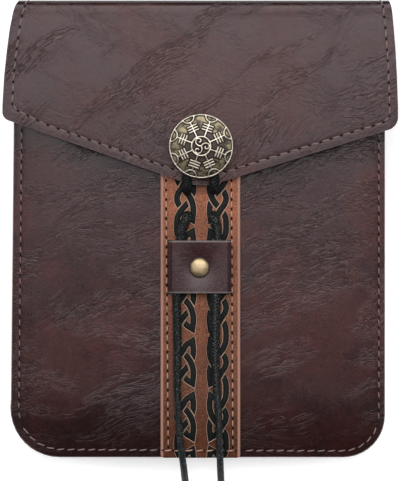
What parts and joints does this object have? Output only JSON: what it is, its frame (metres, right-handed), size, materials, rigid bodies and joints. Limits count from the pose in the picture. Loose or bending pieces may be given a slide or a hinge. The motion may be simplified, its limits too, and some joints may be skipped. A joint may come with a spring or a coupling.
{
  "type": "belt pouch",
  "caption": "Flat leather belt pouch with a pointed flap over the front, a round cast button tied by a cord, a tan embossed strip and two belt loops behind.",
  "frame": {"origin": "on the surface that the pouch lies on, under the middle of its width and of its height from the bottom edge to the top of the fold", "axes": "+X to the right in front view, +Y from the bottom edge towards the fold at the top, +Z out of the front"},
  "size_m": [0.1844, 0.2462, 0.0425],
  "materials": {
    "brown_leather": "dark reddish brown, creased grain, soft sheen",
    "tan_leather": "tan, embossed and inked with black interlace",
    "brass": "polished, slightly scuffed",
    "antique_brass": "cast, with a dark patina in the hollows",
    "black_cord": "braided, waxed, black"
  },
  "bodies": {
    "root": {"back_and_flap": "brown_leather", "front_panel": "brown_leather", "gusset": "brown_leather", "front_strip": "tan_leather", "keeper_tab": "brown_leather", "keeper_rivet": "brass", "concho": "antique_brass", "concho_post": "brass", "cord_loop": "black_cord", "cord_left": "black_cord", "cord_right": "black_cord", "belt_loop_left": "brown_leather", "belt_loop_right": "brown_leather"}
  },
  "joints": []
}
